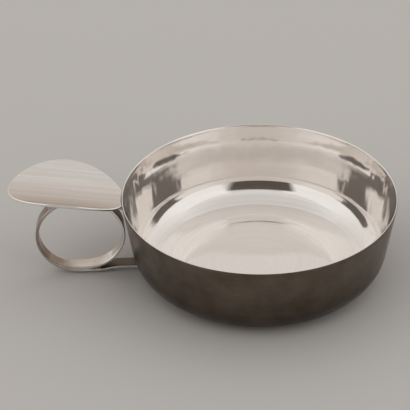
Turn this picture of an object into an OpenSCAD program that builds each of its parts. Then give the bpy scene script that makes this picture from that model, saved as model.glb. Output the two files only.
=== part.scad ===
// Tasting cup of sheet silver: a plain round bowl, a strap bent into a
// finger loop with a tail that runs on to the bowl, and a thumb plate on top.
// Sizes in millimetres. The base lies on z = 0, the bowl's axis is z,
// and the handle points to -x.

/* [Bowl] */
// Diameter over the rim
rim_d = 82; // [76:1:90]
// Height from the base to the top of the rim
bowl_h = 25; // [22:0.5:29]
// Thickness of the bowl's sheet
sheet_t = 0.8; // [0.6:0.1:1.2]
// Outward lean of the wall, in degrees from upright
wall_lean = 9.5; // [7:0.5:12]
// Outer radius of the round between the wall and the base
bottom_r = 10; // [8:0.5:11]

/* [Finger loop] */
// Width of the strap
strap_w = 4.4; // [3.6:0.2:6]
// Thickness of the strap
strap_t = 0.9; // [0.7:0.1:1]
// Gap between the strap's tail and the table
tail_lift = 0.5; // [0.3:0.1:1.2]
// Straight run between the two rounds of the loop
loop_run = 1.9; // [1.2:0.1:5]
// How far the loop's side next to the bowl lies inside the rim's outline
loop_tuck = 0.9; // [0.2:0.1:1.4]
// Angle over which the strap's lapped end follows the loop's outer round
lap_angle = 23; // [14:1:30]
// Rise of the tail between the loop and the bowl
tail_rise = 1; // [0.4:0.1:1.6]
// Length over which the tail rises
tail_bend = 7; // [5:0.5:8]

/* [Thumb plate] */
// Length of the plate, measured outwards from the bowl
plate_l = 34.8; // [28:0.2:40]
// Width of the plate, measured flat in plan
plate_w = 25.7; // [22.5:0.1:28]
// Thickness of the plate
plate_t = 0.8; // [0.6:0.1:1.2]
// Radius of the trough the plate is bent to, on its upper face
plate_bend_r = 21.6; // [18:0.2:40]
// Upward tilt of the plate towards its outer end, in degrees
plate_tilt = 8; // [5:0.5:9]
// How far the plate's inner end reaches inside the rim's outline before it is cut to the wall
plate_bite = 1.1; // [0.8:0.1:1.6]
// Depth of the plate's inner end below the top of the rim
plate_drop = 0.25; // [0.1:0.05:0.4]

/* [Solder] */
// Depth to which the loop's top is filed to seat the plate
seat_cut = 0.3; // [0.2:0.05:0.4]
// Radius of the bead under the plate's inner end
bead_r = 1; // [0.7:0.1:1.3]
// Length of that bead along the rim
bead_l = 6; // [4:0.5:6.5]
// Angle of the loop's round, from its top, that the seat's outer fillet covers
fillet_out = 15; // [10:1:20]
// Angle of the loop's round, from its top, that the seat's inner fillet covers
fillet_in = 34; // [28:1:38]
// Length of the fillet between the loop's bottom and the tail
lap_fillet_l = 2; // [1:0.2:2.4]
// Length of the fillet where the tail meets the bowl
tail_fillet_l = 1.6; // [1:0.1:2.4]
// Height of that fillet
tail_fillet_h = 1.3; // [0.8:0.1:1.8]

/* [Hidden] */
$fn = 240;
silver = [0.86, 0.84, 0.81];
solder = [0.78, 0.76, 0.72];
rim_r = rim_d / 2;
// how far a cutting shape reaches past what it cuts
past = 2;

// bowl: the rounded rim, and the flat foot that the bottom's round leaves
lip_r = sheet_t / cos(wall_lean) / 2;
lip_x = rim_r - lip_r;
lip_z = bowl_h - lip_r;
foot_r = rim_r - (bottom_r + (lip_z - bottom_r) * sin(wall_lean)) / cos(wall_lean);

// radius of the wall at height z, a distance in from its outer face
function wall_at(z, inset) = rim_r - inset / cos(wall_lean) - (lip_z - z) * tan(wall_lean);

// outer radius of the round under the wall at height z
function round_at(z) = foot_r + sqrt(pow(bottom_r, 2) - pow(bottom_r - z, 2));

// thumb plate: its inner end, on the upper face
plate_x = rim_r - plate_bite;
plate_z = bowl_h - plate_drop;
half_l = plate_l / 2;
half_w = plate_w / 2;
under_r = plate_bend_r + plate_t;

// finger loop: the round next to the bowl fills the height between the tail and the plate,
// and is half a strap smaller than the outer one
tail_top = tail_lift + strap_t;
loop_room = cos(plate_tilt) * (plate_z - tail_top) + sin(plate_tilt) * (plate_bite - loop_tuck);
in_r = (loop_room - plate_t + seat_cut) / (1 + cos(plate_tilt) - sin(plate_tilt));
in_clear_r = in_r - strap_t;
out_r = in_r + strap_t / 2;
out_clear_r = out_r - strap_t;
in_x = rim_r - loop_tuck + in_r;
out_x = in_x + loop_run;
in_z = tail_top + in_r;
out_z = in_z - strap_t / 2;
loop_top = in_z + in_r;
// the fillet in the lap starts where its wedge is thick enough to hold solder
lap_start = 1.4;
lap_end = lap_start + lap_fillet_l;
lap_fillet_h = in_r - sqrt(pow(in_r, 2) - pow(lap_end, 2));
// the tail starts to rise once the loop has cleared it
rise_x = in_x - lap_end;
wall_tail_z = tail_top + tail_rise;
wall_tail_x = round_at(wall_tail_z);

// half outline of the bowl, filled to the axis, set in by a distance
module bowl_outline(inset) {
    arc_r = bottom_r - inset;
    join_z = bottom_r - arc_r * sin(wall_lean);
    polygon([[0, inset],
             [foot_r, inset],
             [foot_r, bottom_r],
             [wall_at(join_z, inset), join_z],
             [wall_at(lip_z, inset), lip_z],
             [0, lip_z]]);
    translate([foot_r, bottom_r])
        circle(r = arc_r);
}

// the bowl with its hollow filled, to trim what is soldered to it
module bowl_filled() {
    rotate_extrude() {
        bowl_outline(0);
        translate([lip_x, lip_z])
            circle(r = lip_r);
        translate([0, lip_z - lip_r])
            square([lip_x, 2 * lip_r + past]);
    }
}

module bowl() {
    color(silver)
        rotate_extrude() {
            difference() {
                bowl_outline(0);
                bowl_outline(sheet_t);
            }
            translate([lip_x, lip_z])
                circle(r = lip_r);
        }
}

// outline of the thumb plate in plan, an ellipse
module plate_outline() {
    scale([half_l / half_w, 1])
        circle(r = half_w);
}

// puts a shape drawn from the plate's inner end in its place on the rim
module on_plate() {
    translate([-plate_x, 0, plate_z])
        rotate([0, plate_tilt, 0])
            children();
}

// round bar along the plate whose lowest line is the trough, drop below the plate's upper face
module trough(r, drop) {
    on_plate()
        translate([past, 0, r - drop])
            rotate([0, -90, 0])
                cylinder(r = r, h = plate_l + 2 * past, $fn = 480);
}

module thumb_plate() {
    color(silver)
        difference() {
            intersection() {
                on_plate()
                    translate([-half_l, 0, -past])
                        linear_extrude(height = half_w + past)
                            plate_outline();
                trough(under_r, plate_t);
            }
            trough(plate_bend_r, 0);
            bowl_filled();
        }
}

// stands a shape drawn in x and z upright, a width deep
module upright(width) {
    rotate([90, 0, 0])
        linear_extrude(height = width, center = true)
            children();
}

// filled outline of the loop with given radii of its two rounds
module loop_outline(r_out, r_in) {
    intersection() {
        translate([-out_x, out_z])
            circle(r = r_out);
        translate([-out_x - out_r - past, tail_lift - past])
            square([out_r + past, 2 * (out_r + past)]);
    }
    intersection() {
        translate([-in_x, in_z])
            circle(r = r_in);
        translate([-in_x, tail_lift - past])
            square([in_r + past, 2 * (out_r + past)]);
    }
    translate([-out_x, in_z - r_in])
        square([loop_run, 2 * r_in]);
}

// the strap's end, lapped inside the foot of the loop's outer round
module lap_outline() {
    intersection() {
        translate([-out_x, out_z])
            difference() {
                circle(r = out_clear_r);
                circle(r = out_clear_r - strap_t);
            }
        polygon([[-out_x, out_z],
                 [-out_x, tail_lift],
                 [-out_x - out_r * tan(lap_angle), tail_lift]]);
    }
}

module tail_outline() {
    polygon([[-out_x, tail_lift],
             [-rise_x, tail_lift],
             [-rise_x + tail_bend, tail_lift + tail_rise],
             [-foot_r, tail_lift + tail_rise],
             [-foot_r, tail_top + tail_rise],
             [-rise_x + tail_bend, tail_top + tail_rise],
             [-rise_x, tail_top],
             [-out_x, tail_top]]);
}

module strap() {
    color(silver)
        difference() {
            upright(strap_w) {
                difference() {
                    union() {
                        loop_outline(out_r, in_r);
                        tail_outline();
                    }
                    loop_outline(out_clear_r, in_clear_r);
                }
                lap_outline();
            }
            trough(under_r, plate_t);
            bowl_filled();
        }
}

// bead under the thumb plate's inner end, against the wall
module rim_solder() {
    bead_z = plate_z - plate_t / cos(plate_tilt);
    color(solder)
        difference() {
            translate([-wall_at(bead_z, 0), 0, bead_z])
                rotate([90, 0, 0])
                    cylinder(r = bead_r, h = bead_l, center = true);
            trough(under_r, plate_t);
            bowl_filled();
        }
}

// fillet between the loop's top and the plate, towards the plate's outer end
module seat_solder_outer() {
    reach = out_r * sin(fillet_out);
    low = out_z + out_r * cos(fillet_out);
    color(solder)
        difference() {
            upright(strap_w)
                difference() {
                    translate([-out_x - reach, low])
                        square([reach + loop_run / 2, past]);
                    loop_outline(out_r, in_r);
                }
            trough(under_r, plate_t);
        }
}

// fillet between the loop's top and the plate, towards the bowl
module seat_solder_inner() {
    reach = in_r * sin(fillet_in);
    low = in_z + in_r * cos(fillet_in);
    color(solder)
        difference() {
            upright(strap_w)
                difference() {
                    translate([-in_x + reach / 2, low])
                        square([reach / 2, loop_top - low]);
                    loop_outline(out_r, in_r);
                }
            trough(under_r, plate_t);
        }
}

// fillet between the loop's bottom and the tail
module lap_solder() {
    color(solder)
        upright(strap_w)
            difference() {
                translate([-in_x + lap_start, tail_top])
                    square([lap_fillet_l, lap_fillet_h]);
                loop_outline(out_r, in_r);
            }
}

// fillet between the tail's upper face and the bowl
module tail_solder() {
    color(solder)
        difference() {
            upright(strap_w)
                translate([-wall_tail_x - tail_fillet_l, wall_tail_z])
                    square([tail_fillet_l + past, tail_fillet_h]);
            bowl_filled();
        }
}

bowl();
strap();
thumb_plate();
rim_solder();
seat_solder_outer();
seat_solder_inner();
lap_solder();
tail_solder();
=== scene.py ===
import math

import bmesh
import bpy
from bpy.props import FloatProperty, FloatVectorProperty, PointerProperty
from mathutils import Matrix, Vector


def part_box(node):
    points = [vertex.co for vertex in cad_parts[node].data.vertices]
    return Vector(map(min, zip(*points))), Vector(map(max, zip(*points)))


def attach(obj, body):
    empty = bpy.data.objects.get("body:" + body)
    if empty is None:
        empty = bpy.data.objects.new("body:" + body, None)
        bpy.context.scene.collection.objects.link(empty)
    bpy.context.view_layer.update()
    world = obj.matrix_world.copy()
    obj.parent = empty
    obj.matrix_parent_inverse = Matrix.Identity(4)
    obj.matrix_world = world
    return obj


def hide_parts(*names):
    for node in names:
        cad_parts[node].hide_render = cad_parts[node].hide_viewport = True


bl_info = {
    "name": "Silver tasting cup",
    "version": (1, 0, 0),
    "blender": (4, 5, 0),
    "location": "View3D > Sidebar > Tasting cup",
    "description": "Dresses the packed tasting cup and sets its stage",
    "category": "Object",
}

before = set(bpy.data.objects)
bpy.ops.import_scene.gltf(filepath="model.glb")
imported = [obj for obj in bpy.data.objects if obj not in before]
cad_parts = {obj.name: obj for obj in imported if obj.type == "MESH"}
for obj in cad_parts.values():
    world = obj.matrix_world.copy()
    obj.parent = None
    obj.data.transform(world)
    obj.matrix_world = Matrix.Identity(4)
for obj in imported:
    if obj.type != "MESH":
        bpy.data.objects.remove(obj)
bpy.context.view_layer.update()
BODY = "root"
SOLDER_NODES = ("rim_solder", "seat_solder_outer", "seat_solder_inner",
                "lap_solder", "tail_solder")
BOWL_LOW, BOWL_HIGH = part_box("bowl")
STRAP_LOW, STRAP_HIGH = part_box("strap")
PLATE_LOW, PLATE_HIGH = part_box("thumb_plate")


# Settings

def length(name, text, default):
    """A size in metres."""
    return FloatProperty(name=name, description=text, default=default,
                         unit="LENGTH", precision=5)


def turn(name, text, degrees):
    """An angle, given in degrees."""
    return FloatProperty(name=name, description=text, default=math.radians(degrees),
                         subtype="ANGLE")


def share(name, text, default):
    """A share from 0 to 1."""
    return FloatProperty(name=name, description=text, default=default, min=0, max=1,
                         subtype="FACTOR")


def colour(name, text, default):
    """A colour in linear red, green and blue."""
    return FloatVectorProperty(name=name, description=text, default=default, min=0, max=1,
                               subtype="COLOR")


class TASTEVIN_PG_bowl(bpy.types.PropertyGroup):
    """Sizes of the bowl."""
    rim: length("Rim", "Diameter over the rim", BOWL_HIGH.x - BOWL_LOW.x)
    height: length("Height", "Height from the base to the top of the rim", BOWL_HIGH.z)
    sheet: length("Sheet", "Thickness of the bowl's sheet", 0.0008)
    lip: length("Lip", "Thickness that the sheet thins to at the rim", 0.00045)
    lip_reach: length("Lip reach", "Height over which the sheet thins to the rim", 0.006)
    lean: turn("Lean", "Outward lean of the wall, from upright", 9.5)
    bottom: length("Bottom round", "Outer radius of the round between wall and base", 0.010)
    dish: turn("Dish", "Slope of the floor next to the bottom round", 8)
    crown: length("Crown", "Rise of the floor's middle", 0.00009)
    hollow_place: length("Hollow place", "Radius of the low ring round the crown", 0.0108)
    ridge: length("Ridge", "Height of the ridge that planishing left in the floor", 0.00018)
    ridge_place: length("Ridge place", "Radius of the ridge", 0.0216)
    dish_place: length("Dish place", "Radius at which the floor starts to rise", 0.0249)


class TASTEVIN_PG_handle(bpy.types.PropertyGroup):
    """Sizes of the finger loop and the thumb plate."""
    strap_width: length("Strap width", "Width of the strap", STRAP_HIGH.y - STRAP_LOW.y)
    strap_sheet: length("Strap thickness", "Thickness of the strap", 0.0009)
    strap_edge: length("Strap edge", "Rounding of the strap's edges", 0.00028)
    tail_lift: length("Tail lift", "Gap between the strap's tail and the table", STRAP_LOW.z)
    tail_rise: length("Tail rise", "Rise of the tail between the loop and the bowl", 0.001)
    tail_bend: length("Tail bend", "Length over which the tail rises", 0.007)
    tail_clear: length("Tail clear", "Length of tail that the loop's bottom lies on", 0.0034)
    loop_run: length("Loop run", "Straight run between the loop's two rounds", 0.0019)
    loop_tuck: length("Loop tuck", "How far the loop lies inside the rim's outline", 0.0009)
    lap: turn("Lap", "Angle over which the strap's end follows the outer round", 23)
    slant: turn("Slant", "Slant of the strap's lapped end", 5)
    seat_cut: length("Seat", "Depth to which the loop's top is filed for the plate", 0.0003)
    plate_length: length("Plate length", "Length of the plate, outwards from the bowl", 0.0348)
    plate_width: length("Plate width", "Width of the plate, in plan", PLATE_HIGH.y - PLATE_LOW.y)
    plate_sheet: length("Plate thickness", "Thickness of the plate", 0.0008)
    plate_edge: length("Plate edge", "Rounding of the plate's edges", 0.00036)
    plate_bend: length("Plate bend", "Radius of the trough on the plate's upper face", 0.0216)
    plate_tilt: turn("Plate tilt", "Upward tilt of the plate towards its outer end", 8)
    plate_bite: length("Plate bite", "How far the plate reaches inside the rim's outline", 0.0011)
    plate_drop: length("Plate drop", "Depth of the plate's inner end below the rim", 0.00025)


class TASTEVIN_PG_finish(bpy.types.PropertyGroup):
    """Colours and gloss of the silver."""
    polished: colour("Polished silver", "Colour of polished silver", (0.985, 0.965, 0.945))
    # Tarnished tone of the silver in patches and lines; on the thumb plate the same colour also
    # paints shade that grows towards the plate's near side, at negative y
    tarnish_and_shade: colour("Tarnish", "Colour of tarnish on polished silver", (0.42, 0.31, 0.23))
    # Satin outside colour: a real toned satin, made far darker than silver as a painted dark
    # reflection of dark surroundings
    toned_and_painted_dark: colour("Toned silver", "Colour of the bowl's satin outside", (0.19, 0.157, 0.124))
    # Darker patches on the bowl's outside, partly real mottling and partly painted dark
    # reflection, and painted shade that grows towards the base; the same colour paints the shade
    # on the tail's top
    dark_patches_and_painted_shade: colour("Stain", "Colour of the outside's darker patches", (0.085, 0.064, 0.05))
    brushed: colour("Brushed silver", "Colour of the thumb plate", (0.93, 0.915, 0.895))
    strap: colour("Strap silver", "Colour of the strap", (0.86, 0.80, 0.74))
    # Painted dark reflection on the finger loop: brown patches, and darkening that grows towards
    # the loop's outer end, at negative x
    loop_painted_dark: colour("Bronzed tarnish", "Colour of deep tarnish on the loop", (0.27, 0.20, 0.155))
    solder: colour("Solder", "Colour of the solder", (0.50, 0.45, 0.39))
    inside_blur: share("Inside roughness", "Roughness of the bowl's polished inside", 0.07)
    outside_blur: share("Outside roughness", "Roughness of the bowl's satin outside", 0.33)
    lip_blur: share("Lip roughness", "Roughness of the bowl's lip and of cut edges", 0.16)
    plate_blur: share("Plate roughness", "Roughness of the thumb plate", 0.30)
    strap_blur: share("Strap roughness", "Roughness of the strap", 0.12)
    solder_blur: share("Solder roughness", "Roughness of the solder", 0.34)


class TASTEVIN_PG_stage(bpy.types.PropertyGroup):
    """Floor and light tent."""
    floor: colour("Floor", "Colour of the floor", (0.66, 0.65, 0.63))
    tent_side: colour("Tent sides", "Light from the tent's sides", (0.90, 0.875, 0.855))
    tent_back: colour("Tent back", "Light from the tent's back", (0.68, 0.64, 0.605))
    tent_shoulder: colour("Tent shoulder", "Light from the top's border", (0.74, 0.715, 0.69))
    tent_top: colour("Tent top", "Light from the top's middle", (0.62, 0.595, 0.57))
    opening: colour("Opening", "Colour of the opening round the camera", (0.12, 0.09, 0.074))


SETTINGS = {
    "tastevin_bowl": TASTEVIN_PG_bowl,
    "tastevin_handle": TASTEVIN_PG_handle,
    "tastevin_finish": TASTEVIN_PG_finish,
    "tastevin_stage": TASTEVIN_PG_stage,
}


# Forms that the sizes give

class BowlForm:
    """Radii and heights of the bowl's half outline, in x and z."""

    def __init__(self, size):
        self.rim_r = size.rim / 2
        self.height = size.height
        self.sheet = size.sheet
        self.lean = size.lean
        self.bottom = size.bottom
        self.lip_r = size.sheet / math.cos(size.lean) / 2
        self.lip_z = size.height - self.lip_r
        rise = (self.lip_z - size.bottom) * math.sin(size.lean)
        self.foot_r = self.rim_r - (size.bottom + rise) / math.cos(size.lean)
        self.join_z = size.bottom * (1 - math.sin(size.lean))

    def wall(self, z, inset):
        """Radius of the straight wall at height z, a distance in from its outer face."""
        run = (self.lip_z - z) * math.tan(self.lean)
        return self.rim_r - inset / math.cos(self.lean) - run

    def outside(self, z):
        """Outer radius at height z."""
        if z <= self.join_z:
            return self.foot_r + math.sqrt(max(0, self.bottom ** 2 - (self.bottom - z) ** 2))
        return self.wall(min(z, self.lip_z), 0)


class HandleForm:
    """Radii and centres of the finger loop, and the place of the thumb plate."""

    def __init__(self, size, bowl):
        tilt_cos, tilt_sin = math.cos(size.plate_tilt), math.sin(size.plate_tilt)
        plate_z = bowl.height - size.plate_drop
        self.tail_top = size.tail_lift + size.strap_sheet
        inward = size.plate_bite - size.loop_tuck
        room = tilt_cos * (plate_z - self.tail_top) + tilt_sin * inward
        self.in_r = (room - size.plate_sheet + size.seat_cut) / (1 + tilt_cos - tilt_sin)
        self.in_x = bowl.rim_r - size.loop_tuck + self.in_r
        self.in_z = self.tail_top + self.in_r
        self.out_x = self.in_x + size.loop_run
        self.out_z = self.in_z - size.strap_sheet / 2
        self.rise_x = self.in_x - size.tail_clear
        self.bend = size.plate_bend
        self.sheet = size.plate_sheet
        place = Matrix.Translation((size.plate_bite - bowl.rim_r, 0, plate_z))
        self.on_plate = place @ Matrix.Rotation(size.plate_tilt, 4, "Y")

    def trough(self, y, below):
        """Height of the bent plate at y, over its lowest line, below its upper face."""
        return self.bend - math.sqrt((self.bend + below) ** 2 - y ** 2)


# Mesh helpers

# Edges that turn by more than this are rounded, in so many segments
SHARP_ANGLE = math.radians(40)
EDGE_SEGMENTS = 4
# Points that are nearer than this become one, in metres
SAME_POINT = 1e-7
# Points that are nearer than this to a face lie on it, in metres
TOUCHING = 1e-6


def verts_of(geom):
    """The vertices among what an operator made."""
    return [e for e in geom if isinstance(e, bmesh.types.BMVert)]


def unit_square(bm, columns=1, **settings):
    """Starts a mesh from a square of side 1 about the origin, cut into columns."""
    bmesh.ops.create_grid(bm, x_segments=columns, y_segments=1, size=0.5, **settings)


def full_turn(bm, geom, steps):
    """Spins geometry all the way round the z axis, and closes its seam and poles."""
    bmesh.ops.spin(bm, geom=geom, cent=(0, 0, 0), axis=(0, 0, 1),
                   angle=2 * math.pi, steps=steps, use_merge=True)
    bmesh.ops.remove_doubles(bm, verts=bm.verts, dist=SAME_POINT)


def bend_on(bm, geom, x, z, angle, steps):
    """Carries geometry on round a centre, from +x towards +z, and gives its end."""
    made = bmesh.ops.spin(bm, geom=geom, cent=(x, 0, z), axis=(0, -1, 0),
                          angle=angle, steps=steps)
    return made["geom_last"]


def run_profile(bm, vert, x, z, steps):
    """Carries a profile's end straight on to x and z, and gives the new end."""
    step = (Vector((x, 0, z)) - vert.co) / steps
    for _ in range(steps):
        vert = bmesh.ops.extrude_vert_indiv(bm, verts=[vert])["verts"][0]
        vert.co += step
    return vert


def band_end(geom):
    """A band's end faces with their edges, so that none of them stays behind inside it."""
    faces = [e for e in geom if isinstance(e, bmesh.types.BMFace)]
    return faces + list(dict.fromkeys(e for f in faces for e in f.edges))


def smooth_steps(count):
    """Steps from 0 to 1 that start and end level."""
    return [t * t * (3 - 2 * t) for t in (i / count for i in range(count + 1))]


def run_band(bm, geom, shift, steps=1):
    """Carries a band's end straight on by a shift, in steps, and gives the new end."""
    step = tuple(part / steps for part in shift)
    for _ in range(steps):
        geom = bmesh.ops.extrude_face_region(bm, geom=band_end(geom))["geom"]
        bmesh.ops.translate(bm, verts=verts_of(geom), vec=step)
    return geom


def soften(bm, width, stays=lambda edge: False):
    """Rounds every sharp edge, apart from those that stay."""
    bm.normal_update()
    sharp = [e for e in bm.edges if len(e.link_faces) == 2
             and e.calc_face_angle() > SHARP_ANGLE and not stays(e)]
    bmesh.ops.bevel(bm, geom=sharp, offset=width, offset_type="OFFSET", affect="EDGES",
                    segments=EDGE_SEGMENTS, profile=0.5, material=-1, clamp_overlap=True)
    bm.normal_update()


def mesh_object(bm, name, materials):
    """Turns a bmesh into an object of the scene."""
    mesh = bpy.data.meshes.new(name)
    bm.to_mesh(mesh)
    bm.free()
    for material in materials:
        mesh.materials.append(material)
    made = bpy.data.objects.new(name, mesh)
    bpy.context.scene.collection.objects.link(made)
    return made


def settle(bm, name, finishes, nodes):
    """Closes a mesh, gives it its finishes and makes it the piece that stands for CAD nodes."""
    bmesh.ops.remove_doubles(bm, verts=bm.verts, dist=SAME_POINT)
    bmesh.ops.recalc_face_normals(bm, faces=bm.faces)
    for face in bm.faces:
        face.smooth = True
    piece = mesh_object(bm, name, [finish_of(finish) for finish in finishes])
    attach(piece, BODY)
    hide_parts(*nodes)


# Shader helpers

# Sockets of a colour mix, which share their names with those for other kinds of data
MIX_AMOUNT, MIX_FIRST, MIX_SECOND, MIX_RESULT = 0, 6, 7, 2


def node(tree, kind, inputs=None, **settings):
    """Adds a shader node, with its settings, and its inputs from values or sockets."""
    made = tree.nodes.new("ShaderNode" + kind)
    for name, value in settings.items():
        setattr(made, name, value)
    for name, value in (inputs or {}).items():
        if isinstance(value, bpy.types.NodeSocket):
            tree.links.new(value, made.inputs[name])
        else:
            made.inputs[name].default_value = value
    return made


def math_node(tree, operation, first, second=0.0):
    """The result of an operation on one or two values."""
    return node(tree, "Math", {0: first, 1: second}, operation=operation).outputs[0]


def vector_node(tree, operation, first, second, output="Vector"):
    """The result of an operation on two vectors."""
    made = node(tree, "VectorMath", {0: first, 1: second}, operation=operation)
    return made.outputs[output]


def map_range(tree, value, low, high, to_low=0, to_high=1):
    """A value mapped from one range to another, and held inside it."""
    made = node(tree, "MapRange", {"Value": value, "From Min": low, "From Max": high,
                                   "To Min": to_low, "To Max": to_high})
    return made.outputs["Result"]


def mix_colour(tree, amount, first, second):
    """A mix of two colours."""
    inputs = {MIX_AMOUNT: amount, MIX_FIRST: first, MIX_SECOND: second}
    return node(tree, "Mix", inputs, data_type="RGBA").outputs[MIX_RESULT]


def rgba(value):
    """A colour with full alpha, as a socket takes it."""
    return (*value, 1)


def place_of(tree):
    """The place on the piece, in the object's own frame."""
    return node(tree, "TexCoord").outputs["Object"]


def axes_of(tree, vector):
    """A vector's three parts, by name."""
    return node(tree, "SeparateXYZ", {"Vector": vector}).outputs


def joined(tree, x, y, z=0.0):
    """A vector from its three parts."""
    return node(tree, "CombineXYZ", {"X": x, "Y": y, "Z": z}).outputs[0]


def flat_length(tree, axes):
    """Distance from the z axis."""
    flat = joined(tree, axes["X"], axes["Y"])
    return node(tree, "VectorMath", {0: flat}, operation="LENGTH").outputs["Value"]


def noise(tree, vector, detail, scale=1, roughness=0.5):
    """A soft noise over a vector."""
    inputs = {"Vector": vector, "Scale": scale, "Detail": detail, "Roughness": roughness}
    return node(tree, "TexNoise", inputs).outputs["Fac"]


def bump(tree, height, depth, under=None):
    """A bump of a given depth in metres, over another one where there is one."""
    inputs = {"Height": height, "Distance": depth, "Strength": 1.0}
    if under is not None:
        inputs["Normal"] = under
    return node(tree, "Bump", inputs).outputs["Normal"]


# Shader groups

NOISE_MIDDLE = 0.5
LINE_DETAIL, PATCH_DETAIL, WAVE_DETAIL, MARK_DETAIL = 3, 4, 1, 0
TURNED_ROUGHNESS, DRAWN_ROUGHNESS, PATCH_ROUGHNESS = 0.6, 0.65, 0.55
# The part of a noise's range that becomes lines
LINE_RANGE = (0.3, 0.7)
# Each run of scratches: its turn round z, in radians, and its scale along three axes
MARK_RUNS = ((0.6, (60, 1100, 300)), (2.1, (50, 900, 260)))
# Level of the noise whose contours become scratches
MARK_LEVEL = 0.62


def shader_group(name, inputs, output):
    """An empty shader node group with named inputs and one output."""
    group = bpy.data.node_groups.new(name, "ShaderNodeTree")
    for socket, value in inputs.items():
        made = group.interface.new_socket(socket, in_out="INPUT", socket_type="NodeSocketFloat")
        made.default_value = value
    group.interface.new_socket(output, in_out="OUTPUT", socket_type="NodeSocketFloat")
    given = group.nodes.new("NodeGroupInput").outputs
    return group, given, group.nodes.new("NodeGroupOutput").inputs[0]


def use_group(tree, maker, inputs):
    """Places a shader group, made on first use, with its own values."""
    group = bpy.data.node_groups.get(maker.__name__) or maker()
    return node(tree, "Group", inputs, node_tree=group).outputs[0]


def noise_lines(group, roughness, *scaled):
    """Lines from a noise whose three axes are each given with a scale."""
    vector = joined(group, *(math_node(group, "MULTIPLY", *pair) for pair in scaled))
    level = noise(group, vector, LINE_DETAIL, roughness=roughness)
    return map_range(group, level, *LINE_RANGE)


def turned_lines():
    """Fine lines round the bowl's axis, as a polishing wheel leaves on the wall and floor."""
    group, given, out = shader_group("turned_lines", {"Fineness": 3000, "Drift": 30}, "Lines")
    axes = axes_of(group, place_of(group))
    along = math_node(group, "ADD", flat_length(group, axes), axes["Z"])
    lines = noise_lines(group, TURNED_ROUGHNESS, (axes["X"], given["Drift"]),
                        (axes["Y"], given["Drift"]), (along, given["Fineness"]))
    group.links.new(lines, out)
    return group


def drawn_lines():
    """Fine straight lines, as brushing along the handle leaves them."""
    group, given, out = shader_group("drawn_lines", {"Fineness": 4000, "Drift": 40}, "Lines")
    axes = axes_of(group, place_of(group))
    lines = noise_lines(group, DRAWN_ROUGHNESS, (axes["X"], given["Drift"]),
                        (axes["Y"], given["Fineness"]), (axes["Z"], given["Drift"]))
    group.links.new(lines, out)
    return group


def soft_patches():
    """Soft cloudy patches, as handling and wiping leave on silver; on the bowl's outside and the
    finger loop they also carry painted dark reflection.
    """
    group, given, out = shader_group("soft_patches", {"Scale": 90, "Contrast": 0.5}, "Patches")
    level = noise(group, place_of(group), PATCH_DETAIL, given["Scale"], PATCH_ROUGHNESS)
    half = math_node(group, "MULTIPLY", given["Contrast"], 0.5)
    low = math_node(group, "SUBTRACT", NOISE_MIDDLE, half)
    high = math_node(group, "ADD", NOISE_MIDDLE, half)
    group.links.new(map_range(group, level, low, high), out)
    return group


def growing_darkening():
    """A darkening that grows from none at the start to its full share at the stop, along an axis:
    painted shade on the bowl's outside, the thumb plate and the loop, and a slight darkening up
    the inside wall.
    """
    inputs = {"X": 0, "Y": 0, "Z": 0, "Start": 0, "Stop": 1, "Growth": 0}
    group, given, out = shader_group("growing_darkening", inputs, "Darkening")
    axis = joined(group, *(given[name] for name in "XYZ"))
    along = vector_node(group, "DOT_PRODUCT", place_of(group), axis, "Value")
    wear_and_shade = map_range(group, along, given["Start"], given["Stop"], 0, given["Growth"])
    group.links.new(wear_and_shade, out)
    return group


def planished_waves():
    """Shallow waves, as hammering leaves in sheet metal, that come in between two heights."""
    inputs = {"Across": 55, "Up": 55, "Fade start": -1, "Fade end": 0}
    group, given, out = shader_group("planished_waves", inputs, "Waves")
    place = place_of(group)
    scale = joined(group, given["Across"], given["Across"], given["Up"])
    sized = vector_node(group, "MULTIPLY", place, scale)
    wave = math_node(group, "SUBTRACT", noise(group, sized, WAVE_DETAIL), NOISE_MIDDLE)
    height = axes_of(group, place)["Z"]
    fade = map_range(group, height, given["Fade start"], given["Fade end"])
    group.links.new(math_node(group, "MULTIPLY", wave, fade), out)
    return group


def hairline_marks():
    """Sparse fine scratches in two directions."""
    group, given, out = shader_group("hairline_marks", {"Width": 0.006, "Scale": 1}, "Marks")
    sized = node(group, "VectorMath", {0: place_of(group), "Scale": given["Scale"]},
                 operation="SCALE").outputs[0]
    runs = []
    for angle, stretch in MARK_RUNS:
        turned = node(group, "Mapping", {"Vector": sized, "Rotation": (0, 0, angle),
                                         "Scale": stretch}).outputs[0]
        off = math_node(group, "SUBTRACT", noise(group, turned, MARK_DETAIL), MARK_LEVEL)
        off = math_node(group, "ABSOLUTE", off)
        runs.append(math_node(group, "LESS_THAN", off, given["Width"]))
    group.links.new(math_node(group, "MAXIMUM", *runs), out)
    return group


# Finishes

# How much of a finish's spread in roughness comes from its patches and from its lines
PATCH_DULL, LINE_DULL = 0.6, 0.4

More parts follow.
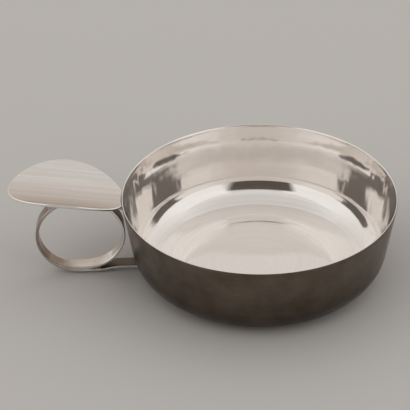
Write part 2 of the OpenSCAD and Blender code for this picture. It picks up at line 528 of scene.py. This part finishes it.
# Colours and roughness are named as in the settings. Depths are in metres.
FINISHES = {
    "polished_inside": dict(
        tint="polished", worn_and_shaded="tarnish_and_shade", blur="inside_blur", spread=0.025, haze=0.09,
        patches={"Scale": 60, "Contrast": 0.5}, patch_wear=0.04,
        pattern=turned_lines, lines={"Fineness": 1500, "Drift": 22},
        line_wear=0.1, line_depth=3.5e-6,
        growth={"Z": 1, "Start": 0.003, "Stop": 0.009, "Growth": 0.1},
        waves=(({"Across": 55, "Up": 55}, 1.2e-5),
               ({"Across": 260, "Up": 60, "Fade start": 0.006, "Fade end": 0.012}, 1.4e-4)),
        marks={"Width": 0.004, "Scale": 1}, mark_depth=-4e-7),
    # Bowl's outside: painted dark reflection over a satin tone, in patches, and painted shade
    # that grows darker towards the base
    "satin_outside_painted_dark": dict(
        tint="toned_and_painted_dark", worn_and_shaded="dark_patches_and_painted_shade", blur="outside_blur", spread=0.08,
        patches={"Scale": 150, "Contrast": 0.4}, patch_wear=0.5,
        pattern=turned_lines, lines={"Fineness": 1600, "Drift": 60},
        line_wear=0.15, line_depth=2e-6,
        growth={"Z": 1, "Start": 0.018, "Stop": 0.002, "Growth": 0.75},
        marks={"Width": 0.005, "Scale": 0.8}, mark_depth=-8e-7),
    "polished_lip": dict(
        tint="polished", worn_and_shaded="tarnish_and_shade", blur="lip_blur", spread=0.04,
        patches={"Scale": 120, "Contrast": 0.5}, patch_wear=0.1,
        pattern=turned_lines, lines={"Fineness": 3000, "Drift": 60},
        line_wear=0.05, line_depth=5e-7),
    # Thumb plate: painted shade that grows darker and warmer towards its near side, at negative
    # y, in place of the trough's dark reflection
    "brushed_plate_painted_shade": dict(
        tint="brushed", worn_and_shaded="tarnish_and_shade", blur="plate_blur", spread=0.05,
        patches={"Scale": 60, "Contrast": 0.5}, patch_wear=0.06,
        pattern=drawn_lines, lines={"Fineness": 1700, "Drift": 24},
        line_wear=0.2, line_depth=3e-6,
        growth={"Y": 1, "Start": 0.009, "Stop": -0.0115, "Growth": 0.62}),
    "polished_edge": dict(
        tint="polished", worn_and_shaded="tarnish_and_shade", blur="lip_blur", spread=0.04,
        patches={"Scale": 120, "Contrast": 0.5}, patch_wear=0.05,
        pattern=drawn_lines, lines={"Fineness": 900, "Drift": 200},
        line_wear=0.05, line_depth=5e-7),
    # Finger loop: painted dark reflection in brown patches, and painted shade that grows towards
    # the loop's outer end
    "polished_strap_painted_dark": dict(
        tint="strap", worn_and_shaded="loop_painted_dark", blur="strap_blur", spread=0.05,
        patches={"Scale": 150, "Contrast": 0.4}, patch_wear=0.45,
        pattern=drawn_lines, lines={"Fineness": 2400, "Drift": 60},
        line_wear=0.12, line_depth=1e-6,
        growth={"X": 1, "Start": -0.050, "Stop": -0.064, "Growth": 0.75},
        waves=(({"Across": 160, "Up": 160}, 6e-6),),
        marks={"Width": 0.005, "Scale": 1.4}, mark_depth=-6e-7),
    # Strap sides: painted shade that grows towards the loop's outer end
    "strap_side_painted_dark": dict(
        tint="polished", worn_and_shaded="loop_painted_dark", blur="lip_blur", spread=0.04,
        patches={"Scale": 150, "Contrast": 0.4}, patch_wear=0.2,
        pattern=drawn_lines, lines={"Fineness": 900, "Drift": 200},
        line_wear=0.05, line_depth=5e-7,
        growth={"X": 1, "Start": -0.052, "Stop": -0.066, "Growth": 0.7}),
    # Painted shade on the tail's top, where it runs between the loop and the bowl
    "painted_tail_shade": dict(
        tint="dark_patches_and_painted_shade", worn_and_shaded="toned_and_painted_dark", blur="outside_blur", spread=0.08,
        patches={"Scale": 150, "Contrast": 0.4}, patch_wear=0.3,
        pattern=drawn_lines, lines={"Fineness": 2400, "Drift": 60},
        line_wear=0.1, line_depth=1e-6),
    "dull_solder": dict(
        tint="solder", worn_and_shaded="tarnish_and_shade", blur="solder_blur", spread=0.08,
        patches={"Scale": 500, "Contrast": 0.5}, patch_wear=0.3,
        pattern=drawn_lines, lines={"Fineness": 900, "Drift": 700},
        line_wear=0.1, line_depth=8e-6),
}


def blend_masks(tree, patch, patch_share, line, line_share):
    """A sum of shares of the patches and the lines."""
    return math_node(tree, "ADD", math_node(tree, "MULTIPLY", patch, patch_share),
                     math_node(tree, "MULTIPLY", line, line_share))


def metal(name, tint, worn_and_shaded, blur, spread, patches, patch_wear, pattern, lines, line_wear,
          line_depth, growth=None, waves=(), marks=None, mark_depth=0.0, haze=0.0):
    """A silver finish.

    Patches and lines carry the second colour and dull the metal; that colour is a tarnished tone
    on some finishes and painted dark reflection on others. Growth adds to the darkening along an
    axis, as painted shade on the outside, the thumb plate and the loop.
    Waves and marks bend the reflections. Haze is the share that isn't bare metal.
    """
    look = bpy.context.scene.tastevin_finish
    clean, worn_and_shaded, blur = rgba(getattr(look, tint)), rgba(getattr(look, worn_and_shaded)), getattr(look, blur)
    material = bpy.data.materials.new(name)
    material.use_nodes = True
    tree = material.node_tree
    shader = tree.nodes["Principled BSDF"]
    shader.inputs["Metallic"].default_value = 1.0 - haze
    patch = use_group(tree, soft_patches, patches)
    line = use_group(tree, pattern, lines)
    wear_and_shade = blend_masks(tree, patch, patch_wear, line, line_wear)
    # Growth darkens along an axis: painted shade on the bowl's outside, the thumb plate and the
    # loop
    if growth:
        wear_and_shade = math_node(tree, "ADD", wear_and_shade, use_group(tree, growing_darkening, growth))
    tree.links.new(mix_colour(tree, wear_and_shade, clean, worn_and_shaded), shader.inputs["Base Color"])
    dull = blend_masks(tree, patch, PATCH_DULL, line, LINE_DULL)
    rough = map_range(tree, dull, 0, 1, blur - spread, blur + spread)
    tree.links.new(rough, shader.inputs["Roughness"])
    normal = None
    for wave, depth in waves:
        normal = bump(tree, use_group(tree, planished_waves, wave), depth, normal)
    normal = bump(tree, line, line_depth, normal)
    if marks:
        normal = bump(tree, use_group(tree, hairline_marks, marks), mark_depth, normal)
    tree.links.new(normal, shader.inputs["Normal"])
    return material


def finish_of(name):
    """The named finish, made on first use."""
    return bpy.data.materials.get(name) or metal(name, **FINISHES[name])


# Bowl

BOWL_STEPS = 384
# Rings of the half outline, in its order: base, round, wall, lip, wall again, fillet and floor
BASE_RINGS, ROUND_RINGS, WALL_RINGS, LIP_RINGS, FILLET_RINGS, FLOOR_RINGS = 6, 28, 20, 14, 36, 96
# The lip's faces that turn further outwards than this belong to the outside
LIP_FACING = 0.6
INSIDE, OUTSIDE, LIP = range(3)


class TASTEVIN_OT_bowl(bpy.types.Operator):
    """Spins the bowl from its half outline."""
    bl_idname = "tastevin.bowl"
    bl_label = "Bowl"

    def floor_rise(self, edge_r, x, size):
        """Rise of the floor at radius x: a low crown and ridge, then up to the dish's slope."""
        marks = ((0, size.crown), (size.hollow_place, 0),
                 (size.ridge_place, size.ridge), (size.dish_place, 0))
        for (low_x, low), (high_x, high) in zip(marks, marks[1:]):
            if x < high_x:
                half_wave = math.pi * (x - low_x) / (high_x - low_x)
                return low + (high - low) * (1 - math.cos(half_wave)) / 2
        dish_run = edge_r - size.dish_place
        return math.tan(size.dish) * (x - size.dish_place) ** 2 / (2 * dish_run)

    def draw_outline(self, bm, form, size):
        """Draws the half outline from the middle of the base, over the rim, to the floor's."""
        def arc(vert, x, z, angle, steps):
            return verts_of(bend_on(bm, [vert], x, z, angle, steps))[0]

        bottom_turn = math.pi / 2 - form.lean
        end = run_profile(bm, bm.verts.new((0, 0, 0)), form.foot_r, 0, BASE_RINGS)
        end = arc(end, form.foot_r, form.bottom, bottom_turn, ROUND_RINGS)
        end = run_profile(bm, end, form.rim_r, form.lip_z, WALL_RINGS)
        end = arc(end, form.rim_r - form.lip_r, form.lip_z, math.pi, LIP_RINGS)
        inner_r = form.bottom - form.sheet
        edge_r = form.foot_r + inner_r * math.sin(size.dish)
        edge_z = form.sheet + self.floor_rise(edge_r, edge_r, size)
        centre_z = edge_z + inner_r * math.cos(size.dish)
        centre_x = form.foot_r + (centre_z - form.bottom) * math.tan(form.lean)
        join_z = centre_z - inner_r * math.sin(form.lean)
        end = run_profile(bm, end, form.wall(join_z, form.sheet), join_z, WALL_RINGS)
        end = arc(end, centre_x, centre_z, size.dish - bottom_turn, FILLET_RINGS)
        edge_r = end.co.x
        for ring in range(FLOOR_RINGS - 1, -1, -1):
            x = edge_r * ring / FLOOR_RINGS
            end = run_profile(bm, end, x, form.sheet + self.floor_rise(edge_r, x, size), 1)

    def thin_lip(self, bm, form, size):
        """Thins the sheet from its inner face, ever more up to the rim."""
        for vert in bm.verts:
            rise = min((vert.co.z - form.lip_z) / size.lip_reach + 1, 1)
            if rise > 0:
                to_outside = form.outside(vert.co.z) - vert.co.x
                vert.co.x += to_outside * (1 - size.lip / size.sheet) * rise ** 2

    def execute(self, context):
        size = context.scene.tastevin_bowl
        form = BowlForm(size)
        bm = bmesh.new()
        self.draw_outline(bm, form, size)
        self.thin_lip(bm, form, size)
        full_turn(bm, bm.verts[:] + bm.edges[:], BOWL_STEPS)
        bmesh.ops.recalc_face_normals(bm, faces=bm.faces)
        for face in bm.faces:
            middle = face.calc_center_median()
            outward = face.normal.dot(Vector((middle.x, middle.y, 0)).normalized())
            on_lip = middle.z > form.lip_z and outward < LIP_FACING
            inner = face.normal.z - outward > 0
            face.material_index = LIP if on_lip else INSIDE if inner else OUTSIDE
        finishes = ("polished_inside", "satin_outside_painted_dark", "polished_lip")
        settle(bm, "bowl_body", finishes, ["bowl"])
        return {"FINISHED"}


# Finger loop

# Cuts across the strap, and steps along its tail, its rise, below the loop, round each of
# the loop's rounds, along the run between them and round the lap
BAND_CUTS, TAIL_STEPS, RISE_STEPS, UNDER_STEPS = 8, 10, 14, 4
LOOP_STEPS, RUN_STEPS, LAP_STEPS = 72, 3, 10
# Share of the strap's thickness that its lapped end loses
LAP_THINNING = 0.35
# How far past the tail's bend the painted shade on the tail's top reaches, in metres
TAIL_SHADE_REACH = 0.001
# Faces that turn further up, or further to a side, than this belong to the top or the side
TOP_FACING, SIDE_FACING = 0.75, 0.25
BAND, SIDE, TAIL_SHADE = range(3)


class TASTEVIN_OT_strap(bpy.types.Operator):
    """Sweeps the strap from the bowl along its tail, round the loop and into the lap."""
    bl_idname = "tastevin.strap"
    bl_label = "Finger loop"

    def feather(self, bm, end, form, size, step):
        """Thins the lapped end a step further, on its free side, and slants it."""
        before = 1 - LAP_THINNING * step / LAP_STEPS
        keep = (1 - LAP_THINNING * (step + 1) / LAP_STEPS) / before
        seat_r = form.out_z - form.tail_top
        centre = Vector((-form.out_x, 0, form.out_z))
        for vert in verts_of(end):
            lean = size.slant / LAP_STEPS * vert.co.y / size.strap_width * 2
            bmesh.ops.rotate(bm, verts=[vert], cent=centre,
                             matrix=Matrix.Rotation(lean, 3, (0, -1, 0)))
            out = vert.co - centre
            out.y = 0
            vert.co += out.normalized() * (seat_r - out.length) * (1 - keep)

    def sweep(self, bm, form, size, foot_r):
        """Runs the strap's cross-section from the bowl's foot to the lapped end."""
        middle_z = form.tail_top + size.tail_rise - size.strap_sheet / 2
        stand = Matrix(((0, 0, 1, -foot_r),
                        (size.strap_width, 0, 0, 0),
                        (0, size.strap_sheet, 0, middle_z),
                        (0, 0, 0, 1)))
        unit_square(bm, BAND_CUTS)
        bmesh.ops.transform(bm, matrix=stand, verts=bm.verts)
        flat_run = form.rise_x - size.tail_bend - foot_r
        end = run_band(bm, bm.faces[:], (-flat_run, 0, 0), TAIL_STEPS)
        ease = smooth_steps(RISE_STEPS)
        for low, high in zip(ease, ease[1:]):
            drop = size.tail_rise * (high - low)
            end = run_band(bm, end, (-size.tail_bend / RISE_STEPS, 0, -drop))
        end = run_band(bm, end, (form.rise_x - form.out_x, 0, 0), UNDER_STEPS)
        end = bend_on(bm, band_end(end), -form.out_x, form.out_z, -math.pi, LOOP_STEPS)
        end = run_band(bm, end, (size.loop_run, 0, 0), RUN_STEPS)
        end = bend_on(bm, band_end(end), -form.in_x, form.in_z, -math.pi, LOOP_STEPS)
        end = run_band(bm, end, (-size.loop_run, 0, 0), RUN_STEPS)
        for step in range(LAP_STEPS):
            end = bend_on(bm, band_end(end), -form.out_x, form.out_z, -size.lap / LAP_STEPS, 1)
            self.feather(bm, end, form, size, step)

    def fit(self, bm, form, bowl):
        """Files the loop's top to the plate, and cuts the tail to the bowl's wall."""
        to_plate = form.on_plate.inverted()
        for vert in bm.verts:
            local = to_plate @ vert.co
            local.z = min(local.z, form.trough(vert.co.y, form.sheet))
            vert.co = form.on_plate @ local
            wall = bowl.outside(vert.co.z)
            if math.hypot(vert.co.x, vert.co.y) < wall:
                vert.co.x = -math.sqrt(wall ** 2 - vert.co.y ** 2)
        bmesh.ops.remove_doubles(bm, verts=bm.verts, dist=SAME_POINT)
        bmesh.ops.recalc_face_normals(bm, faces=bm.faces)

    def execute(self, context):
        size = context.scene.tastevin_handle
        bowl = BowlForm(context.scene.tastevin_bowl)
        form = HandleForm(size, bowl)

        def on_wall(edge):
            return all(abs(math.hypot(v.co.x, v.co.y) - bowl.outside(v.co.z)) < TOUCHING
                       for v in edge.verts)

        bm = bmesh.new()
        self.sweep(bm, form, size, bowl.foot_r)
        self.fit(bm, form, bowl)
        soften(bm, size.strap_edge, on_wall)
        # Upward faces of the tail, from the bowl to just short of the loop, get the painted shade
        shade_x = TAIL_SHADE_REACH - form.rise_x
        shade_z = form.tail_top + size.tail_rise + TOUCHING
        for face in bm.faces:
            middle = face.calc_center_median()
            on_tail = middle.x > shade_x and middle.z < shade_z and face.normal.z > TOP_FACING
            side = abs(face.normal.y) > SIDE_FACING
            face.material_index = TAIL_SHADE if on_tail else SIDE if side else BAND
        finishes = ("polished_strap_painted_dark", "strap_side_painted_dark", "painted_tail_shade")
        settle(bm, "finger_loop", finishes, ["strap"])
        return {"FINISHED"}


# Thumb plate

PLATE_STEPS = 240
# Rings of the plate, as shares of its half oval, closer together towards the edge
PLATE_RINGS = (0.0, 0.12, 0.24, 0.36, 0.48, 0.6, 0.7, 0.79, 0.87, 0.93, 0.97, 1.0)
# Halvings that find where the plate meets the wall
REACH_HALVINGS = 24
# Faces that turn further from the trough's own slope than this belong to the edge
EDGE_FACING = 0.94
FACE, EDGE = range(2)


class TASTEVIN_OT_thumb_plate(bpy.types.Operator):
    """Makes the oval thumb plate, bent to a trough and cut to the bowl's wall."""
    bl_idname = "tastevin.thumb_plate"
    bl_label = "Thumb plate"

    def execute(self, context):
        size = context.scene.tastevin_handle
        bowl = BowlForm(context.scene.tastevin_bowl)
        form = HandleForm(size, bowl)
        half_l, half_w = size.plate_length / 2, size.plate_width / 2

        def placed(x, y, below):
            """Where a place on the flat disc of radius 1 comes to lie on the bent plate."""
            height = form.trough(y * half_w, below)
            return form.on_plate @ Vector((x * half_l - half_l, y * half_w, height))

        def reach(x, y):
            """Share of the plate's half oval, towards x and y, that lies clear of the wall."""
            low, high = 0.0, 1.0
            for _ in range(REACH_HALVINGS):
                middle = (low + high) / 2
                spot = placed(x * middle, y * middle, 0)
                inside = math.hypot(spot.x, spot.y) < bowl.outside(spot.z)
                low, high = (low, middle) if inside else (middle, high)
            return high

        bm = bmesh.new()
        spoke = [bm.verts.new((ring, 0, 0)) for ring in PLATE_RINGS]
        edges = [bm.edges.new(pair) for pair in zip(spoke, spoke[1:])]
        full_turn(bm, spoke + edges, PLATE_STEPS)
        lower = set(verts_of(bmesh.ops.extrude_face_region(bm, geom=bm.faces[:])["geom"]))
        for vert in bm.verts:
            from_centre = math.hypot(vert.co.x, vert.co.y)
            if from_centre > 0:
                vert.co *= reach(vert.co.x / from_centre, vert.co.y / from_centre)
            vert.co = placed(vert.co.x, vert.co.y, form.sheet if vert in lower else 0)
        bmesh.ops.recalc_face_normals(bm, faces=bm.faces)
        soften(bm, size.plate_edge)
        unturned = form.on_plate.to_3x3().transposed()
        for face in bm.faces:
            across = face.calc_center_median().y / size.plate_bend
            slope = Vector((0, -across, math.sqrt(1 - across ** 2)))
            facing = abs(slope.dot(unturned @ face.normal))
            face.material_index = EDGE if facing < EDGE_FACING else FACE
        finishes = ("brushed_plate_painted_shade", "polished_edge")
        settle(bm, "oval_thumb_plate", finishes, ["thumb_plate"])
        return {"FINISHED"}


# Solder

class TASTEVIN_OT_solder(bpy.types.Operator):
    """Gives the soldered joints their finish."""
    bl_idname = "tastevin.solder"
    bl_label = "Soldered joints"

    def execute(self, context):
        for name in SOLDER_NODES:
            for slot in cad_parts[name].material_slots:
                slot.material = finish_of("dull_solder")
        return {"FINISHED"}


# Stage

# The camera, fitted to the rim's outline: metres and radians, and millimetres for its lens
CAMERA_PLACE = Vector((-0.03077, -0.50308, 0.35051))
CAMERA_YAW, CAMERA_PITCH, CAMERA_ROLL = -0.0290, 0.5783, -0.0105
CAMERA_LENS = 177.4
CAMERA_CLIP = (0.01, 50)
# The dark opening: azimuth and elevation in degrees, distance, sides, and share that fades
OPENING_PLACE = (-5, 28.5, 1.7)
OPENING_SIDES = (1.9, 1.48)
OPENING_FADE = 0.11
FLOOR_SIDE = 12
# The floor lies this far below the base, so that the two faces don't mix
FLOOR_GAP = 0.0001
SHEET_ROUGHNESS, SHEET_SPECULAR = 0.9, 0.1
# Where the tent's light changes: across to the back, next to the camera, up on to the top,
# and from the top's border to its middle
BACK_RANGE = (0, 0.9)
FRONT_RANGE = (-0.84, -0.89)
TOP_RANGE = (0.783, 0.80)
MIDDLE_RANGE = (0.84, 0.96)


def place_camera():
    """The photograph's viewing angle."""
    ahead = Vector((-math.sin(CAMERA_YAW) * math.cos(CAMERA_PITCH),
                    math.cos(CAMERA_YAW) * math.cos(CAMERA_PITCH), -math.sin(CAMERA_PITCH)))
    level = Vector((math.cos(CAMERA_YAW), math.sin(CAMERA_YAW), 0))
    over = level.cross(ahead)
    right = math.cos(CAMERA_ROLL) * level + math.sin(CAMERA_ROLL) * over
    up = math.cos(CAMERA_ROLL) * over - math.sin(CAMERA_ROLL) * level
    lens = bpy.data.cameras.new("photo_camera")
    lens.lens = CAMERA_LENS
    lens.clip_start, lens.clip_end = CAMERA_CLIP
    camera = bpy.data.objects.new("photo_camera", lens)
    bpy.context.scene.collection.objects.link(camera)
    turned = Matrix((right, up, -ahead)).transposed().to_4x4()
    camera.matrix_world = Matrix.Translation(CAMERA_PLACE) @ turned
    bpy.context.scene.camera = camera


def towards(azimuth, elevation, distance):
    """A point at an azimuth from the camera's side and an elevation, in degrees."""
    a, e = math.radians(azimuth), math.radians(elevation)
    ahead = Vector((math.sin(a) * math.cos(e), -math.cos(a) * math.cos(e), math.sin(e)))
    return ahead * distance


def tent_light(look):
    """A soft tent: bright at the sides, warmer at the back, dimmer by the camera and on top."""
    world = bpy.data.worlds.new("light_tent")
    world.use_nodes = True
    tree = world.node_tree
    axes = axes_of(tree, node(tree, "TexCoord").outputs["Generated"])
    behind = math_node(tree, "DIVIDE", axes["Y"], flat_length(tree, axes))
    side, back = rgba(look.tent_side), rgba(look.tent_back)
    border, middle = rgba(look.tent_shoulder), rgba(look.tent_top)
    wall = mix_colour(tree, map_range(tree, behind, *BACK_RANGE), side, back)
    wall = mix_colour(tree, map_range(tree, behind, *FRONT_RANGE), wall, middle)
    top = mix_colour(tree, map_range(tree, axes["Z"], *MIDDLE_RANGE), border, middle)
    tent = mix_colour(tree, map_range(tree, axes["Z"], *TOP_RANGE), wall, top)
    tree.links.new(tent, tree.nodes["Background"].inputs["Color"])
    bpy.context.scene.world = world


def plain_sheet(name, width, depth, place, tint):
    """A flat stage sheet with a matt colour."""
    bm = bmesh.new()
    bm.loops.layers.uv.new("sheet")
    unit_square(bm, calc_uvs=True)
    sized = place @ Matrix.Diagonal((width, depth, 1, 1))
    bmesh.ops.transform(bm, matrix=sized, verts=bm.verts)
    material = bpy.data.materials.new(name)
    material.use_nodes = True
    shader = material.node_tree.nodes["Principled BSDF"]
    shader.inputs["Base Color"].default_value = rgba(tint)
    shader.inputs["Roughness"].default_value = SHEET_ROUGHNESS
    shader.inputs["Specular IOR Level"].default_value = SHEET_SPECULAR
    sheet = mesh_object(bm, name, [material])
    return sheet


def fade_edges(sheet):
    """Lets a stage sheet fade out towards its four edges."""
    tree = sheet.data.materials[0].node_tree
    axes = axes_of(tree, node(tree, "TexCoord").outputs["UV"])
    middle = 0.5
    shares = []
    for axis in "XY":
        off = math_node(tree, "ABSOLUTE", math_node(tree, "SUBTRACT", axes[axis], middle))
        shares.append(map_range(tree, off, middle, middle - OPENING_FADE))
    alpha = tree.nodes["Principled BSDF"].inputs["Alpha"]
    tree.links.new(math_node(tree, "MULTIPLY", *shares), alpha)


class TASTEVIN_OT_stage(bpy.types.Operator):
    """Sets up the camera, the floor and the soft studio light."""
    bl_idname = "tastevin.stage"
    bl_label = "Stage"

    def execute(self, context):
        look = context.scene.tastevin_stage
        place_camera()
        below = Matrix.Translation((0, 0, -FLOOR_GAP))
        plain_sheet("studio_floor", FLOOR_SIDE, FLOOR_SIDE, below, look.floor)
        spot = towards(*OPENING_PLACE)
        stand = Matrix.Translation(spot) @ spot.to_track_quat("Z", "Y").to_matrix().to_4x4()
        opening = plain_sheet("tent_opening", *OPENING_SIDES, stand, look.opening)
        opening.visible_camera = False
        fade_edges(opening)
        tent_light(look)
        context.scene.view_settings.view_transform = "Standard"
        return {"FINISHED"}


# Panel and registration

STEPS = (TASTEVIN_OT_stage, TASTEVIN_OT_bowl, TASTEVIN_OT_strap, TASTEVIN_OT_thumb_plate,
         TASTEVIN_OT_solder)


class TASTEVIN_PT_sidebar(bpy.types.Panel):
    """Lists the cup's pieces and sizes."""
    bl_idname = "TASTEVIN_PT_sidebar"
    bl_label = "Tasting cup"
    bl_space_type = "VIEW_3D"
    bl_region_type = "UI"
    bl_category = "Tasting cup"

    def draw(self, context):
        for step in STEPS:
            self.layout.operator(step.bl_idname)
        for name, group in SETTINGS.items():
            box = self.layout.box()
            for prop in group.__annotations__:
                box.prop(getattr(context.scene, name), prop)


CLASSES = (*SETTINGS.values(), *STEPS, TASTEVIN_PT_sidebar)


def register():
    for cls in CLASSES:
        bpy.utils.register_class(cls)
    for name, group in SETTINGS.items():
        setattr(bpy.types.Scene, name, PointerProperty(type=group))


def unregister():
    for name in SETTINGS:
        delattr(bpy.types.Scene, name)
    for cls in reversed(CLASSES):
        bpy.utils.unregister_class(cls)


def main():
    register()
    bpy.ops.tastevin.stage()
    bpy.ops.tastevin.bowl()
    bpy.ops.tastevin.strap()
    bpy.ops.tastevin.thumb_plate()
    bpy.ops.tastevin.solder()


if __name__ == "__main__":
    main()
